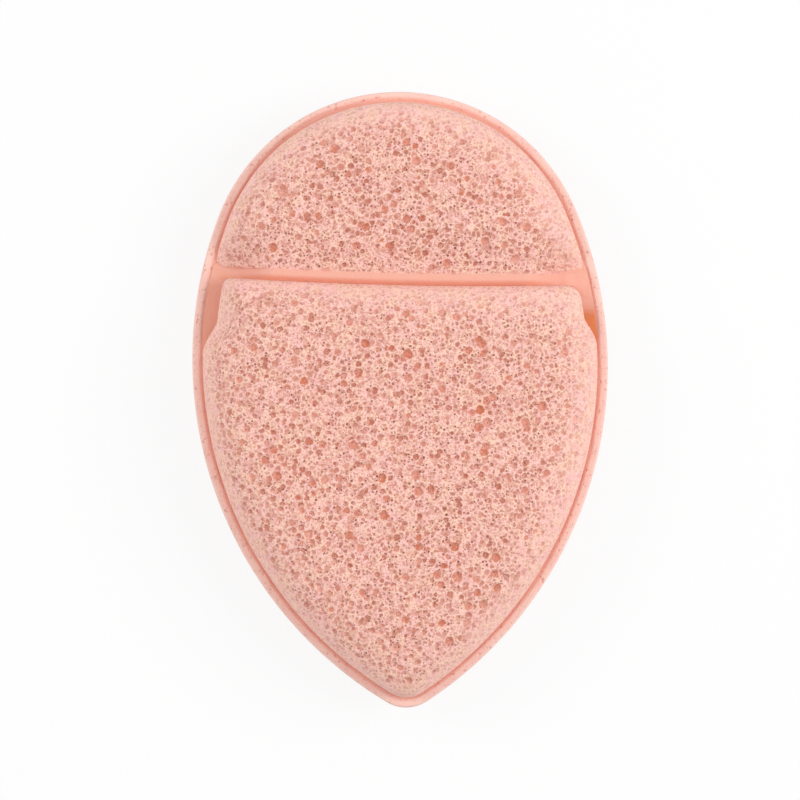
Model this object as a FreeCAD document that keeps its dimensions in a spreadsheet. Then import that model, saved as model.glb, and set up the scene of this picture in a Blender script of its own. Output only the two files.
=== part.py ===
import FreeCAD, Part
import Sketcher
import math
import os

# Teardrop cleansing sponge of two pressed foam sheets with a finger pocket in the front.
# It lies on its back: +Z out of the front, +Y towards the round end, millimetres.

doc = FreeCAD.newDocument("pocket_sponge")
sheet = doc.addObject("Spreadsheet::Sheet", "Sheet")

SIZES = [
    # Outline of the whole sponge
    ("pad_length", 120.0),
    ("pad_width", 81.0),
    ("side_swell", 3.0),
    ("tip_radius", 7.4),
    # Pressed edge
    ("edge_width", 2.2),
    ("bead_width", 1.3),
    ("edge_thickness", 2.6),
    ("groove_depth", 0.5),
    ("bead_round", 0.9),
    # Foam sheets, heights measured from the plane where the sheets meet
    ("back_depth", 9.5),
    ("back_flat", 0.5),
    ("upper_height", 10.0),
    ("pocket_height", 12.5),
    ("crown_run", 21.0),
    ("tip_fall", 1.5),
    # Pocket under the front sheet
    ("pocket_rise", 5.2),
    ("pocket_foot", 5.5),
    ("pocket_run", 12.0),
    # Slit and free lip
    ("slit_from_top", 37.4),
    ("slit_open", 1.0),
    ("strip_width", 1.6),
    ("strip_thickness", 1.1),
    ("tab_width", 2.4),
    ("tab_length", 5.5),
    ("upper_round", 4.0),
    ("upper_corner", 6.0),
    ("lip_length", 11.9),
    ("lip_round", 4.0),
    ("lip_corner", 5.0),
    ("lip_side_gap", 2.2),
    ("hinge_gap", 0.3),
]

for row, (name, number) in enumerate(SIZES, start=1):
    sheet.set(f"A{row}", name)
    sheet.set(f"B{row}", str(number))
    sheet.setAlias(f"B{row}", name)
doc.recompute()


def value(rule):
    """Number that a rule written with the sheet's names comes to now."""
    return float(sheet.evalExpression(rule))


# Places that follow from the sizes, written as rules so that everything stays tied to the sheet
WELD = "Sheet.back_depth"
SLIT = "(Sheet.pad_length / 2 - Sheet.slit_from_top)"
HINGE = f"({SLIT} - Sheet.lip_length)"
STRIP_LOW = f"({SLIT} + Sheet.slit_open)"
STRIP_HIGH = f"({STRIP_LOW} + Sheet.strip_width)"
HALF_EDGE = "(Sheet.edge_thickness / 2)"
TOP_RADIUS = "(Sheet.pad_width / 2 - Sheet.side_swell)"
CREST = f"({WELD} + Sheet.pocket_height)"


def new_body(label):
    body = doc.addObject("PartDesign::Body", label)
    body.Label = label
    return body


def new_sketch(body, name, role, height="0"):
    """Sketch on one of the body's own planes, moved along its normal by a rule."""
    sketch = body.newObject("Sketcher::SketchObject", f"{body.Label}_{name}")
    plane = [item for item in body.Origin.OriginFeatures if item.Role == role][0]
    sketch.AttachmentSupport = [(plane, "")]
    sketch.MapMode = "FlatFace"
    sketch.setExpression("AttachmentOffset.Base.z", height)
    return sketch


def tie(sketch, name, kind, *rest):
    """Add one dimension whose number is a rule on the sheet; the rule comes last."""
    refs, rule = rest[:-1], rest[-1]
    index = sketch.addConstraint(Sketcher.Constraint(kind, *refs, value(rule)))
    sketch.renameConstraint(index, name)
    sketch.setExpression(f"Constraints.{name}", rule)


def join(sketch, first, first_end, second, second_end, kind="Coincident"):
    sketch.addConstraint(Sketcher.Constraint(kind, first, first_end, second, second_end))


def arc(x, y, radius, start, end):
    circle = Part.Circle(FreeCAD.Vector(x, y, 0), FreeCAD.Vector(0, 0, 1), radius)
    return Part.ArcOfCircle(circle, start, end)


def line(x0, y0, x1, y1):
    return Part.LineSegment(FreeCAD.Vector(x0, y0, 0), FreeCAD.Vector(x1, y1, 0))


def side_arc(half_width, top_centre, top_radius, tip_centre, tip_radius):
    """Centre and radius of the long side arc that touches both end arcs at the given half width."""
    a = half_width - top_radius
    b = half_width - tip_radius
    c = top_radius - tip_radius
    reach = top_centre - tip_centre
    k = c / a
    drop = (-reach + math.sqrt(reach * reach - k * (b * c - reach * reach))) / k
    radius = (drop * drop / a + top_radius + half_width) / 2
    return radius - half_width, top_centre - drop, radius


def teardrop(sketch, inset="0", fall="1", guide=False):
    """Draw the outline as four tangent arcs, drawn in by a rule from the inner edge of the rim.

    A negative inset of edge_width gives the outline of the whole sponge.  The point end comes in
    'fall' times as far as the sides, and where that is more than once its arc shrinks in
    proportion.  Returns the numbers of the top, right, tip and left arcs.
    """
    edge = "Sheet.edge_width"
    half = f"Sheet.pad_width / 2 - {edge} - ({inset})"
    top_r = f"{TOP_RADIUS} - {edge} - ({inset})"
    tip_r = f"(Sheet.tip_radius - {edge} - ({inset}))"
    if fall != "1":
        tip_r = f"(Sheet.tip_radius - {edge}) * (1 - ({inset}) / (Sheet.pad_width / 2 - {edge}))"
    top_y = f"Sheet.pad_length / 2 - {TOP_RADIUS}"
    tip_y = f"Sheet.pad_length / 2 - {edge} - ({inset}) * {fall} - {tip_r}"
    y_top, r_top, y_tip, r_tip = value(top_y), value(top_r), -value(tip_y), value(tip_r)
    x_side, y_side, r_side = side_arc(value(half), y_top, r_top, y_tip, r_tip)
    upper = math.atan2(y_top - y_side, x_side)
    lower = math.atan2(y_tip - y_side, x_side)
    full = math.pi
    first = sketch.GeometryCount
    top, right, tip, left, reach = range(first, first + 5)
    sketch.addGeometry(arc(0, y_top, r_top, upper, full - upper), guide)
    sketch.addGeometry(arc(-x_side, y_side, r_side, lower, upper), guide)
    sketch.addGeometry(arc(0, y_tip, r_tip, full - lower, 2 * full + lower), guide)
    sketch.addGeometry(arc(x_side, y_side, r_side, full - upper, full - lower), guide)
    sketch.addGeometry(Part.Point(FreeCAD.Vector(value(half), y_side, 0)), True)
    join(sketch, top, 1, right, 2, "Tangent")
    join(sketch, right, 1, tip, 2, "Tangent")
    join(sketch, tip, 1, left, 2, "Tangent")
    join(sketch, left, 1, top, 2, "Tangent")
    sketch.addConstraint(Sketcher.Constraint("PointOnObject", top, 3, -2))
    sketch.addConstraint(Sketcher.Constraint("PointOnObject", tip, 3, -2))
    sketch.addConstraint(Sketcher.Constraint("Equal", right, left))
    sketch.addConstraint(Sketcher.Constraint("PointOnObject", reach, 1, right))
    sketch.addConstraint(Sketcher.Constraint("Horizontal", reach, 1, right, 3))
    tie(sketch, f"top_radius{first}", "Radius", top, top_r)
    tie(sketch, f"tip_radius{first}", "Radius", tip, tip_r)
    tie(sketch, f"top_centre{first}", "DistanceY", -1, 1, top, 3, top_y)
    tie(sketch, f"tip_centre{first}", "DistanceY", tip, 3, -1, 1, tip_y)
    tie(sketch, f"half_width{first}", "DistanceX", -1, 1, reach, 1, half)
    return top, right, tip, left


def frame(sketch):
    """Large rectangle round a profile, so that a cut leaves only what the profile holds."""
    first = sketch.GeometryCount
    span = "2 * (Sheet.pad_length + Sheet.pad_width)"
    half = value(span) / 2
    corners = [(-half, -half), (half, -half), (half, half), (-half, half)]
    for here, there in zip(corners, corners[1:] + corners[:1]):
        sketch.addGeometry(line(*here, *there))
    for step in range(4):
        join(sketch, first + step, 2, first + (step + 1) % 4, 1)
        kind = "Horizontal" if step % 2 == 0 else "Vertical"
        sketch.addConstraint(Sketcher.Constraint(kind, first + step))
    sketch.addConstraint(Sketcher.Constraint("Symmetric", first, 1, first + 2, 1, -1, 1))
    tie(sketch, "frame_wide", "DistanceX", first, 1, first, 2, span)
    tie(sketch, "frame_tall", "DistanceY", first + 1, 1, first + 1, 2, span)


def pad(body, sketch, length, name):
    feature = body.newObject("PartDesign::Pad", f"{body.Label}_{name}")
    feature.Profile = sketch
    feature.setExpression("Length", length)
    body.Tip = feature
    doc.recompute()
    return feature


def trim(body, sketch, name):
    """Cut away everything outside the profile, to both sides of its plane."""
    feature = body.newObject("PartDesign::Pocket", f"{body.Label}_{name}")
    feature.Profile = sketch
    feature.SideType = "Symmetric"
    feature.setExpression("Length", "Sheet.pad_length * 2")
    body.Tip = feature
    doc.recompute()
    return feature


def loft(body, kind, name, base, run, rise, fall, start="0", down=False, steps=5):
    """Dome of inset outlines: over a quarter turn the outline comes in by run and climbs by rise."""
    sections = []
    for step in range(steps):
        turn = 90 * step / (steps - 1)
        inset = f"({start} + {run} * (1 - cos({turn} deg)))"
        height = f"{base} {'-' if down else '+'} {rise} * sin({turn} deg)"
        sketch = new_sketch(body, f"{name}{step}", "XY_Plane", height)
        teardrop(sketch, inset, fall)
        sections.append(sketch)
    doc.recompute()
    feature = body.newObject(f"PartDesign::{kind}Loft", f"{body.Label}_{name}")
    feature.Profile = sections[0]
    feature.Sections = sections[1:]
    feature.Ruled = False
    body.Tip = feature
    doc.recompute()
    return feature


def loop(sketch, points, name):
    """Closed run of straight lines through points given as pairs of rules."""
    first = sketch.GeometryCount
    spots = [(value(u), value(v)) for u, v in points]
    count = len(spots)
    for step in range(count):
        sketch.addGeometry(line(*spots[step], *spots[(step + 1) % count]))
    for step in range(count):
        join(sketch, first + step, 2, first + (step + 1) % count, 1)
    for step, (u, v) in enumerate(points):
        place(sketch, first + step, 1, u, v, f"{name}{step}")
    return first


def place(sketch, item, end, u, v, name):
    """Hold one point of the sketch at a pair of rules measured from the sketch's origin."""
    for kind, rule, letter in (("DistanceX", u, "across"), ("DistanceY", v, "up")):
        if abs(value(rule)) < 1e-9:
            axis = -2 if kind == "DistanceX" else -1
            sketch.addConstraint(Sketcher.Constraint("PointOnObject", item, end, axis))
        else:
            tie(sketch, f"{name}_{letter}", kind, -1, 1, item, end, rule)


def corner_profile(sketch, inset, edge_y, far_y, corner):
    """Region with a straight edge at edge_y and two rounded corners, open towards far_y.

    Each corner arc touches the straight edge and the side of the outline at the given inset.
    """
    sides = teardrop(sketch, inset, guide=True)
    y_edge, y_far, r = value(edge_y), value(far_y), value(corner)
    away = 1 if y_far > y_edge else -1
    guide = sketch.Geometry[sides[1]]
    x_side, y_side, r_side = guide.Center.x, guide.Center.y, guide.Radius
    y_mid = y_edge + away * r
    x_mid = x_side + math.sqrt((r_side - r) ** 2 - (y_mid - y_side) ** 2)
    slope = math.atan2(y_mid - y_side, x_mid - x_side)
    x_end = x_mid + r * math.cos(slope)
    y_end = y_mid + r * math.sin(slope)
    first = sketch.GeometryCount
    edge_line, right, right_side, far, left_side, left = range(first, first + 6)
    quarter = math.pi / 2
    sketch.addGeometry(line(-x_mid, y_edge, x_mid, y_edge))
    if away > 0:
        sketch.addGeometry(arc(x_mid, y_mid, r, -quarter, slope))
    else:
        sketch.addGeometry(arc(x_mid, y_mid, r, slope, quarter))
    sketch.addGeometry(line(x_end, y_end, x_end, y_far))
    sketch.addGeometry(line(x_end, y_far, -x_end, y_far))
    sketch.addGeometry(line(-x_end, y_far, -x_end, y_end))
    if away > 0:
        sketch.addGeometry(arc(-x_mid, y_mid, r, math.pi - slope, 3 * quarter))
    else:
        sketch.addGeometry(arc(-x_mid, y_mid, r, quarter, math.pi - slope))
    near, out = (1, 2) if away > 0 else (2, 1)
    join(sketch, edge_line, 2, right, near, "Tangent")
    join(sketch, edge_line, 1, left, out, "Tangent")
    join(sketch, right, out, right_side, 1)
    join(sketch, left, near, left_side, 2)
    join(sketch, right_side, 2, far, 1)
    join(sketch, far, 2, left_side, 1)
    sketch.addConstraint(Sketcher.Constraint("Equal", right, left))
    sketch.addConstraint(Sketcher.Constraint("Vertical", right_side))
    sketch.addConstraint(Sketcher.Constraint("Vertical", left_side))
    sketch.addConstraint(Sketcher.Constraint("Tangent", right, out, sides[1]))
    sketch.addConstraint(Sketcher.Constraint("Symmetric", edge_line, 1, edge_line, 2, -2))
    sketch.addConstraint(Sketcher.Constraint("Symmetric", far, 1, far, 2, -2))
    tie(sketch, "corner", "Radius", right, corner)
    tie(sketch, "edge_line", "DistanceY", -1, 1, edge_line, 1, edge_y)
    if away > 0:
        tie(sketch, "far_line", "DistanceY", -1, 1, far, 1, far_y)
    else:
        tie(sketch, "far_line", "DistanceY", far, 1, -1, 1, f"-1 * ({far_y})")


# Back sheet: flat inside, crowned underneath, with a flat to rest on
back = new_body("back_pad")
foot = new_sketch(back, "foot", "XY_Plane", f"{WELD} - {HALF_EDGE}")
teardrop(foot)
pad(back, foot, HALF_EDGE, "wall")
loft(back, "Additive", "crown", f"{WELD} - {HALF_EDGE}", "Sheet.crown_run",
     f"(Sheet.back_depth - {HALF_EDGE} + Sheet.back_flat)", "Sheet.tip_fall", down=True)
flat = new_sketch(back, "flat", "XZ_Plane")
frame(flat)
loop(flat, [("-1 * Sheet.pad_width", "0"), ("Sheet.pad_width", "0"),
            ("Sheet.pad_width", "Sheet.back_depth * 2"),
            ("-1 * Sheet.pad_width", "Sheet.back_depth * 2")], "keep")
trim(back, flat, "rest")

# Pressed edge: a ring with a rounded bead outside and a groove against the foam on both faces
edge = new_body("edge_weld")
ring = new_sketch(edge, "ring", "XY_Plane", f"{WELD} - {HALF_EDGE}")
teardrop(ring, "-1 * Sheet.edge_width")
teardrop(ring)
pad(edge, ring, "Sheet.edge_thickness", "ring")
for name, height in (("groove_front", f"{WELD} + {HALF_EDGE}"),
                     ("groove_back", f"{WELD} - {HALF_EDGE} + Sheet.groove_depth")):
    groove = new_sketch(edge, name, "XY_Plane", height)
    teardrop(groove, "Sheet.bead_width - Sheet.edge_width")
    teardrop(groove)
    cut = edge.newObject("PartDesign::Pocket", f"edge_weld_{name}_cut")
    cut.Profile = groove
    cut.setExpression("Length", "Sheet.groove_depth")
    edge.Tip = cut
    doc.recompute()
outer_wall = [arc.Radius for arc in ring.Geometry[:4]]
outer = [f"Edge{number}" for number, item in enumerate(edge.Shape.Edges, start=1)
         if item.BoundBox.ZLength < 1e-6
         and item.Curve.TypeId == "Part::GeomCircle"
         and min(abs(item.Curve.Radius - radius) for radius in outer_wall) < 1e-3]
bead = edge.newObject("PartDesign::Fillet", "edge_weld_bead")
bead.Base = (cut, outer)
bead.setExpression("Radius", "Sheet.bead_round")
edge.Tip = bead
doc.recompute()


def front_sheet(label, height):
    """Crowned front sheet of the full outline, before it is cut to its own piece."""
    body = new_body(label)
    foot = new_sketch(body, "foot", "XY_Plane", WELD)
    teardrop(foot)
    pad(body, foot, HALF_EDGE, "wall")
    loft(body, "Additive", "crown", f"{WELD} + {HALF_EDGE}", "Sheet.crown_run",
         f"({height} - {HALF_EDGE})", "Sheet.tip_fall")
    return body


def hollow(body):
    """Take the finger space out of the front sheet from below."""
    loft(body, "Subtractive", "space", WELD, "Sheet.pocket_run", "Sheet.pocket_rise",
         "Sheet.tip_fall", start="Sheet.pocket_foot", steps=4)


# Upper panel: the round end of the front sheet, ending in a rounded wall above the slit
LIFT = "0.3"
upper = front_sheet("upper_panel", "Sheet.upper_height")
wall = new_sketch(upper, "end", "YZ_Plane")
frame(wall)
top = f"({WELD} + Sheet.upper_height + {LIFT})"
mid = f"({top} - Sheet.upper_round)"
over = f"({top} + Sheet.upper_round)"
run = f"({STRIP_HIGH} + Sheet.upper_round)"
first = wall.GeometryCount
y0, y1, y2 = value(STRIP_HIGH), value(run), value("Sheet.pad_length")
z0, z1, z2, z3 = value("0"), value(mid), value(top), value(over)
spots = [(y2, z0), (y2, z3), (y1, z3), (y1, z2)]
wall.addGeometry(line(y0, z0, y2, z0))
for here, there in zip(spots, spots[1:]):
    wall.addGeometry(line(*here, *there))
wall.addGeometry(arc(y1, z1, y1 - y0, math.pi / 2, math.pi))
wall.addGeometry(line(y0, z1, y0, z0))
for here, here_end, there, there_end in ((0, 2, 1, 1), (1, 2, 2, 1), (2, 2, 3, 1), (3, 2, 4, 1),
                                         (4, 2, 5, 1), (5, 2, 0, 1)):
    join(wall, first + here, here_end, first + there, there_end)
place(wall, first, 1, STRIP_HIGH, "0", "low")
place(wall, first, 2, "Sheet.pad_length", "0", "far")
place(wall, first + 1, 2, "Sheet.pad_length", over, "peak")
wall.addConstraint(Sketcher.Constraint("Horizontal", first + 2))
wall.addConstraint(Sketcher.Constraint("Vertical", first + 3))
wall.addConstraint(Sketcher.Constraint("Vertical", first + 5))
wall.addConstraint(Sketcher.Constraint("Vertical", first + 4, 3, first + 4, 1))
wall.addConstraint(Sketcher.Constraint("Horizontal", first + 4, 3, first + 4, 2))
tie(wall, "round", "Radius", first + 4, "Sheet.upper_round")
tie(wall, "round_top", "DistanceY", -1, 1, first + 4, 1, top)
trim(upper, wall, "wall_end")
corners = new_sketch(upper, "corners", "XY_Plane")
frame(corners)
corner_profile(corners, f"-1 * {LIFT}", STRIP_HIGH, "Sheet.pad_length / 2 + Sheet.edge_width",
               "Sheet.upper_corner")
trim(upper, corners, "corner_cut")

# Pocket panel: the lower front sheet, arched over the finger space, up to the bending line
panel = front_sheet("pocket_panel", "Sheet.pocket_height")
hollow(panel)
end = new_sketch(panel, "end", "YZ_Plane")
frame(end)
loop(end, [("-1 * Sheet.pad_length / 1.5", "0"), (HINGE, "0"), (HINGE, f"2 * {CREST}"),
           ("-1 * Sheet.pad_length / 1.5", f"2 * {CREST}")], "keep")
trim(panel, end, "hinge_end")

# Lip: the free end of the same sheet; its nose is an arc round the bending line, so it swings clear
lip = front_sheet("pocket_lip", "Sheet.pocket_height")
hollow(lip)
nose = new_sketch(lip, "nose", "YZ_Plane")
frame(nose)
near = f"({HINGE} + Sheet.hinge_gap)"
top = f"({CREST} + {LIFT})"
mid = f"({top} - Sheet.lip_round)"
back_off = f"({SLIT} - Sheet.lip_round)"
over = f"({top} + Sheet.lip_round)"
reach = f"sqrt(Sheet.lip_length ^ 2 + (Sheet.lip_round - {LIFT}) ^ 2)"
heel = f"({HINGE} + {reach} / 2)"
first = nose.GeometryCount
y0, y1, y2, y3 = value(near), value(back_off), value(SLIT), value(heel)
radius = value(reach)
axis_y, axis_z = value(HINGE), value(CREST)
z0 = axis_z - radius * math.sin(math.pi / 3)
z1, z2, z3 = value(mid), value(top), value(over)
start = math.atan2(z1 - axis_z, y2 - axis_y)
nose.addGeometry(line(y0, z0, y3, z0))
nose.addGeometry(arc(axis_y, axis_z, radius, -math.pi / 3, start))
nose.addGeometry(arc(y1, z1, y2 - y1, 0, math.pi / 2))
nose.addGeometry(line(y1, z2, y1, z3))
nose.addGeometry(line(y1, z3, y0, z3))
nose.addGeometry(line(y0, z3, y0, z0))
for here, here_end, there, there_end in ((0, 2, 1, 1), (1, 2, 2, 1), (2, 2, 3, 1), (3, 2, 4, 1),
                                         (4, 2, 5, 1), (5, 2, 0, 1)):
    join(nose, first + here, here_end, first + there, there_end)
place(nose, first + 1, 3, HINGE, CREST, "axis")
nose.addConstraint(Sketcher.Constraint("Horizontal", first))
nose.addConstraint(Sketcher.Constraint("Vertical", first + 3))
nose.addConstraint(Sketcher.Constraint("Horizontal", first + 4))
nose.addConstraint(Sketcher.Constraint("Vertical", first + 5))
nose.addConstraint(Sketcher.Constraint("Horizontal", first + 2, 3, first + 2, 1))
nose.addConstraint(Sketcher.Constraint("Vertical", first + 2, 3, first + 2, 2))
tie(nose, "round", "Radius", first + 2, "Sheet.lip_round")
place(nose, first + 2, 1, SLIT, mid, "tip")
tie(nose, "near", "DistanceX", -1, 1, first + 5, 1, near)
tie(nose, "over", "DistanceY", -1, 1, first + 5, 1, over)
tie(nose, "heel", "DistanceX", -1, 1, first, 2, heel)
trim(lip, nose, "nose_cut")
sides = new_sketch(lip, "sides", "XY_Plane")
frame(sides)
corner_profile(sides, "Sheet.lip_side_gap", SLIT, "-1 * Sheet.pad_length / 4", "Sheet.lip_corner")
trim(lip, sides, "side_cut")

# Pressed strip along the slit, lying on the back sheet from edge to edge with widened ends
strip = new_body("mouth_weld")
plan = new_sketch(strip, "plan", "XY_Plane", WELD)
guide = teardrop(plan, guide=True)
side = plan.Geometry[guide[1]]
x_side, y_side, r_side = side.Center.x, side.Center.y, side.Radius
y0, y1 = value(STRIP_LOW), value(STRIP_HIGH)
y2 = y0 - value("Sheet.tab_length")
turn1 = math.asin((y1 - y_side) / r_side)
turn2 = math.asin((y2 - y_side) / r_side)
x1 = x_side + r_side * math.cos(turn1)
x2 = x_side + r_side * math.cos(turn2)
x3 = x2 - value("Sheet.tab_width")
first = plan.GeometryCount
plan.addGeometry(line(x1, y1, -x1, y1))
plan.addGeometry(arc(-x_side, y_side, r_side, math.pi - turn1, math.pi - turn2))
plan.addGeometry(line(-x2, y2, -x3, y2))
plan.addGeometry(line(-x3, y2, -x3, y0))
plan.addGeometry(line(-x3, y0, x3, y0))
plan.addGeometry(line(x3, y0, x3, y2))
plan.addGeometry(line(x3, y2, x2, y2))
plan.addGeometry(arc(x_side, y_side, r_side, turn2, turn1))
for here, here_end, there, there_end in ((0, 2, 1, 1), (1, 2, 2, 1), (2, 2, 3, 1), (3, 2, 4, 1),
                                         (4, 2, 5, 1), (5, 2, 6, 1), (6, 2, 7, 1), (7, 2, 0, 1)):
    join(plan, first + here, here_end, first + there, there_end)
join(plan, first + 7, 3, guide[1], 3)
join(plan, first + 1, 3, guide[3], 3)
plan.addConstraint(Sketcher.Constraint("Equal", first + 7, guide[1]))
plan.addConstraint(Sketcher.Constraint("Equal", first + 1, guide[3]))
for step in (0, 2, 6):
    plan.addConstraint(Sketcher.Constraint("Horizontal", first + step))
for step in (3, 5):
    plan.addConstraint(Sketcher.Constraint("Vertical", first + step))
plan.addConstraint(Sketcher.Constraint("Symmetric", first + 4, 1, first + 4, 2, -2))
tie(plan, "high", "DistanceY", -1, 1, first, 1, STRIP_HIGH)
tie(plan, "low", "DistanceY", -1, 1, first + 4, 1, STRIP_LOW)
tie(plan, "tab_long", "DistanceY", first + 5, 2, first + 5, 1, "Sheet.tab_length")
tie(plan, "tab_wide", "DistanceX", first + 6, 1, first + 6, 2, "Sheet.tab_width")
join(plan, first + 2, 1, first + 6, 1, "Horizontal")
pad(strip, plan, "Sheet.strip_thickness", "strip")

# Check every object, then write one file per piece
doc.recompute()
for item in doc.Objects:
    assert "Invalid" not in item.State and "Error" not in item.State, (item.Label, item.State)
pieces = [item for item in doc.Objects if item.TypeId == "PartDesign::Body"]
os.makedirs("parts", exist_ok=True)
for body in pieces:
    assert body.Shape.isValid() and len(body.Shape.Solids) == 1, body.Label
    body.Shape.exportStep(f"parts/{body.Label}.step")
    box = body.Shape.BoundBox
    print(body.Label, round(body.Shape.Volume, 1), [round(edge, 3) for edge in
          (box.XMin, box.XMax, box.YMin, box.YMax, box.ZMin, box.ZMax)])
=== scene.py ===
import math

import bpy
import numpy as np
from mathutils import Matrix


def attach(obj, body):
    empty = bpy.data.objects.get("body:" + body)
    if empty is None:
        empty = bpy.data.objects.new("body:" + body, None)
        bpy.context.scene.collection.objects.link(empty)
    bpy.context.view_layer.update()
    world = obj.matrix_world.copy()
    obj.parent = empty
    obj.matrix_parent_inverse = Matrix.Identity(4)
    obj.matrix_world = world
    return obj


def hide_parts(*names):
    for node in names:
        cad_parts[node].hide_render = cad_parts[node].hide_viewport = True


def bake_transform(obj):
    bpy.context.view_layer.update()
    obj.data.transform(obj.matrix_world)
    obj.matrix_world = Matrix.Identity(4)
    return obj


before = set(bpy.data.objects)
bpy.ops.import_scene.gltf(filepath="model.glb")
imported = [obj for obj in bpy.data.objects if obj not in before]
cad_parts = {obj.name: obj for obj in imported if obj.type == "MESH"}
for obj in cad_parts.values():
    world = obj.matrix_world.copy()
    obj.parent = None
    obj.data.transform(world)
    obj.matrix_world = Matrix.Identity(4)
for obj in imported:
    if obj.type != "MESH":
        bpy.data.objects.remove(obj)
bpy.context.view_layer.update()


# Back sheet.
# A teardrop of open-cell foam about 1 cm thick, die-cut and hot-pressed along its edge only, so the
# middle keeps its full height and the underside stands out as a shallow crown.
LENGTH, WIDTH = 120.0, 81.0
TOP_RADIUS, TIP_RADIUS = 37.5, 7.4
EDGE, HALF_EDGE = 2.2, 1.3
WELD = 9.5
CROWN_RUN, CROWN_POWER, TIP_FALL = 16.0, 3.0, 1.5
BACK_RISE, BACK_SIDE = 8.7, 1.9
HAIR = 0.02
MARGIN, ARC_STEPS = 1.2, 15
LINING_RINGS, LINING_SETTLE = 27, 0.12
WALL_FADE = 0.6
LARGE_CELLS = {"pitch": 3.1, "small": 0.23, "large": 0.36, "share": 0.95, "most": 0.7, "seed": 11}
MIDDLING_CELLS = {"pitch": 1.5, "small": 0.30, "large": 0.50, "share": 0.95, "most": 0.45, "seed": 12}
LARGE_OPEN, LARGE_SHUT, LARGE_SHRINK = 5.6, 1.0, 0.8
MIDDLING_OPEN, MIDDLING_SHUT, MIDDLING_SHRINK = 2.4, 0.4, 0.5
SKIN_RUN, PAINTED_LIGHT_SKIN_EXTRA, SKIN_TAIL, SKIN_FULL = 3.8, 1.2, 16.0, 0.3
SKIN_NEAR, SKIN_FAR = 0.55, 0.45


def side_circle():
    """Centre and radius of the long side arcs: the circle that touches the round end, the tip and the
    full width, from the triangle of the three arcs' centres."""
    half = WIDTH / 2
    a, b, c = half - TOP_RADIUS, half - TIP_RADIUS, TOP_RADIUS - TIP_RADIUS
    reach = LENGTH - TOP_RADIUS - TIP_RADIUS
    k = c / a
    drop = (-reach + math.sqrt(reach * reach - k * (b * c - reach * reach))) / k
    radius = (drop * drop / a + TOP_RADIUS + half) / 2
    return radius - half, LENGTH / 2 - TOP_RADIUS - drop, radius


SIDE_X, SIDE_Y, SIDE_RADIUS = side_circle()


def inset(x, y):
    """Distance in from the outline: the radius of the arc whose sector holds the point, less the
    point's distance from that arc's centre."""
    x = np.abs(x)
    top_y, tip_y = LENGTH / 2 - TOP_RADIUS, TIP_RADIUS - LENGTH / 2
    top = (y - top_y) * SIDE_X - x * (top_y - SIDE_Y) > 0
    tip = (y - tip_y) * SIDE_X - x * (tip_y - SIDE_Y) < 0
    from_top = TOP_RADIUS - np.hypot(x, y - top_y)
    from_tip = TIP_RADIUS - np.hypot(x, y - tip_y)
    from_side = SIDE_RADIUS - np.hypot(x + SIDE_X, y - SIDE_Y)
    return np.where(top, from_top, np.where(tip, from_tip, from_side))


def ease(low, high, value):
    """Smooth step from 0 at low to 1 at high, 3t^2 - 2t^3; it falls where low is the larger one."""
    t = np.clip((value - low) / (high - low), 0, 1)
    return t * t * (3 - 2 * t)


def crown(x, y):
    """Share of the full crown at a point, a shoulder over the distance t from the pressed edge,
    (1 - (1 - t)^p)^(1/p) with the crown's power p.  Towards the tip a second distance grows more
    slowly, and the two join as the cube root of their cubes' harmonic sum."""
    from_edge = np.maximum(inset(x, y) - EDGE, 0.001)
    from_tip = np.maximum((y + LENGTH / 2 - EDGE) / TIP_FALL, 0.001)
    nearer = (from_edge ** -3.0 + from_tip ** -3.0) ** (-1 / 3)
    return (1 - np.clip(1 - nearer / CROWN_RUN, 0, 1) ** CROWN_POWER) ** (1 / CROWN_POWER)


def reach_of(room, centre, angles):
    """Distance from the centre to where room() falls to nought, by halving along every ray at once."""
    near, far = np.zeros_like(angles), np.full_like(angles, LENGTH)
    for _ in range(40):
        middle = (near + far) / 2
        inside = room(centre[0] + middle * np.cos(angles), centre[1] + middle * np.sin(angles)) > 0
        near, far = np.where(inside, middle, near), np.where(inside, far, middle)
    return near


def spread(room, centre, count):
    """Square grid stretched over a star-shaped region: the square goes to a disc ring by ring, and the
    disc's radius is scaled to the region's edge in that direction."""
    a, b = np.meshgrid(np.linspace(-1, 1, count), np.linspace(-1, 1, count), indexing="ij")
    flat = np.abs(a) > np.abs(b)
    ratio = np.where(flat, b, a) / np.where(flat, a, np.where(b == 0, 1, b))
    angle = np.where(flat, ratio * math.pi / 4, math.pi / 2 - ratio * math.pi / 4)
    angle = angle + np.where(np.where(flat, a, b) < 0, math.pi, 0)
    radius = np.maximum(np.abs(a), np.abs(b))
    rays = np.linspace(0, 2 * math.pi, 4001)[:-1]
    reach = np.interp(angle, rays, reach_of(room, centre, rays), period=2 * math.pi)
    return centre[0] + radius * reach * np.cos(angle), centre[1] + radius * reach * np.sin(angle)


def rim_of(grid):
    """Values round the outside of a square grid, once round against the clock."""
    return np.concatenate([grid[:-1, 0], grid[-1, :-1], grid[:0:-1, -1], grid[0, :0:-1]])


def inward(room, x, y):
    """Unit direction in which room() grows, from differences over a hundredth of a millimetre."""
    step = 0.01
    dx = room(x + step, y) - room(x - step, y)
    dy = room(x, y + step) - room(x, y - step)
    size = np.hypot(dx, dy)
    return dx / size, dy / size


def normals_of(points, closed=False):
    """Unit normals of a grid of points: cross product of its differences along both directions."""
    along = np.gradient(points, axis=0)
    if closed:
        across = (np.roll(points, -1, axis=1) - np.roll(points, 1, axis=1)) / 2
    else:
        across = np.gradient(points, axis=1)
    normal = np.cross(along, across)
    return normal / np.linalg.norm(normal, axis=-1, keepdims=True)


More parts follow.
